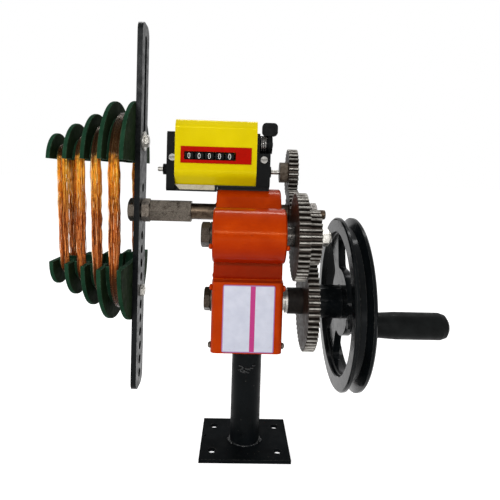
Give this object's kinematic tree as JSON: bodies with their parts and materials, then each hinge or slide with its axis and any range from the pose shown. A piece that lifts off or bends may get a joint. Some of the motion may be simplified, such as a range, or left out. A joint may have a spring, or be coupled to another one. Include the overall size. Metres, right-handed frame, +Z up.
{
  "type": "hand-cranked coil winding machine",
  "caption": "Hand-cranked bench machine that winds wire coils on stepped half-round formers, with a gear train, a grooved handwheel and a turns counter.",
  "frame": {"origin": "centre of the base plate's underside, in the middle of its four bolt holes", "axes": "+X along the shafts from the winding arm towards the handwheel, +Y away from the side with the label, +Z up"},
  "size_m": [0.4394, 0.2154, 0.4908],
  "materials": {
    "black_paint": "satin",
    "red_paint": "semi-gloss",
    "yellow_paint": "semi-gloss",
    "cover_steel": "satin",
    "bearing_steel": "satin",
    "gear_steel": "satin, lightly oiled",
    "bright_steel": "turned",
    "zinc_steel": "zinc plated",
    "black_iron": "gloss black paint",
    "green_plastic": "moulded, satin",
    "black_plastic": "gloss",
    "red_plastic": "gloss",
    "copper_wire": "enamelled copper wire"
  },
  "bodies": {
    "frame": {"base_plate": "black_paint", "post_pipe": "black_paint", "crank_housing": "red_paint", "middle_housing": "red_paint", "spindle_housing": "red_paint", "housing_saddle": "red_paint", "crank_bearings": "bearing_steel", "middle_bearings": "bearing_steel", "spindle_bearings": "bearing_steel", "counter_bracket": "black_paint", "counter_base": "cover_steel", "counter_left_cheek": "black_plastic", "counter_right_cheek": "black_plastic", "counter_cover": "yellow_paint", "counter_panel": "red_plastic", "number_axle": "bright_steel", "counter_screws": "zinc_steel"},
    "crank": {"crank_shaft": "bright_steel", "crank_end_bolt": "zinc_steel", "crank_spacer": "bright_steel", "drive_gear": "gear_steel", "handwheel": "black_iron", "grip_pin": "zinc_steel"},
    "grip": {"handle_grip": "black_plastic"},
    "middle": {"middle_shaft": "bright_steel", "middle_end_bolt": "zinc_steel", "middle_spacer": "bright_steel", "middle_nut": "zinc_steel", "idler_gear": "gear_steel", "idler_pinion": "gear_steel"},
    "spindle": {"spindle_shaft": "bright_steel", "spindle_nut": "zinc_steel", "spindle_spacer": "bright_steel", "spindle_collar": "bright_steel", "spindle_gear": "gear_steel", "coupling_nut": "zinc_steel", "arm_lock_nut": "zinc_steel", "arm_bolt": "zinc_steel", "winding_arm": "black_paint", "lower_former": "green_plastic", "lower_former_bolt": "zinc_steel", "lower_former_nut": "zinc_steel", "wire_coil_1": "copper_wire", "wire_coil_2": "copper_wire", "wire_coil_3": "copper_wire", "wire_coil_4": "copper_wire"},
    "upper_former_set": {"upper_former": "green_plastic", "upper_former_bolt": "zinc_steel", "upper_former_nut": "zinc_steel"},
    "counter_drive": {"counter_shaft": "bright_steel", "counter_gear": "gear_steel"},
    "reset": {"reset_lever": "black_plastic", "reset_spring": "bright_steel"},
    "digits_1": {"number_wheel_1": "black_plastic"},
    "digits_2": {"number_wheel_2": "black_plastic"},
    "digits_3": {"number_wheel_3": "black_plastic"},
    "digits_4": {"number_wheel_4": "black_plastic"},
    "digits_5": {"number_wheel_5": "black_plastic"}
  },
  "joints": [
    {"name": "crank_turn", "type": "hinge", "parent": "frame", "child": "crank", "pos_m": [0, 0, 0.1673], "axis": [1, 0, 0], "continuous": true},
    {"name": "grip_spin", "type": "hinge", "parent": "crank", "child": "grip", "pos_m": [0.15, -0.07038, 0.16324], "axis": [1, 0, 0], "continuous": true},
    {"name": "middle_turn", "type": "hinge", "parent": "frame", "child": "middle", "pos_m": [0, -0.0267, 0.24483], "axis": [1, 0, 0], "continuous": true},
    {"name": "spindle_turn", "type": "hinge", "parent": "frame", "child": "spindle", "pos_m": [0, 0.0447, 0.26427], "axis": [1, 0, 0], "continuous": true},
    {"name": "former_slide", "type": "slide", "parent": "spindle", "child": "upper_former_set", "axis": [0, 0, 1], "range_m": [-0.005, 0]},
    {"name": "counter_turn", "type": "hinge", "parent": "frame", "child": "counter_drive", "pos_m": [0, 0.0665, 0.31586], "axis": [1, 0, 0], "continuous": true},
    {"name": "digits_turn_1", "type": "hinge", "parent": "frame", "child": "digits_1", "pos_m": [0, 0.0338, 0.33205], "axis": [1, 0, 0], "continuous": true},
    {"name": "digits_turn_2", "type": "hinge", "parent": "frame", "child": "digits_2", "pos_m": [0, 0.0338, 0.33205], "axis": [1, 0, 0], "continuous": true},
    {"name": "digits_turn_3", "type": "hinge", "parent": "frame", "child": "digits_3", "pos_m": [0, 0.0338, 0.33205], "axis": [1, 0, 0], "continuous": true},
    {"name": "digits_turn_4", "type": "hinge", "parent": "frame", "child": "digits_4", "pos_m": [0, 0.0338, 0.33205], "axis": [1, 0, 0], "continuous": true},
    {"name": "digits_turn_5", "type": "hinge", "parent": "frame", "child": "digits_5", "pos_m": [0, 0.0338, 0.33205], "axis": [1, 0, 0], "continuous": true},
    {"name": "reset_press", "type": "hinge", "parent": "frame", "child": "reset", "pos_m": [0.02, 0.034, 0.3485], "axis": [1, 0, 0], "range_deg": [0, 50], "stiffness_Nm_per_rad": 0.02, "springref_deg": -22.92}
  ],
  "couplings": [
    {"joint": "middle_turn", "follows": "crank_turn", "ratio": -1.9286},
    {"joint": "spindle_turn", "follows": "crank_turn", "ratio": 3.1684},
    {"joint": "counter_turn", "follows": "crank_turn", "ratio": -3.1684},
    {"joint": "digits_turn_1", "follows": "crank_turn", "ratio": 0.000031684},
    {"joint": "digits_turn_2", "follows": "crank_turn", "ratio": 0.00031684},
    {"joint": "digits_turn_3", "follows": "crank_turn", "ratio": 0.0031684},
    {"joint": "digits_turn_4", "follows": "crank_turn", "ratio": 0.031684},
    {"joint": "digits_turn_5", "follows": "crank_turn", "ratio": 0.31684}
  ]
}
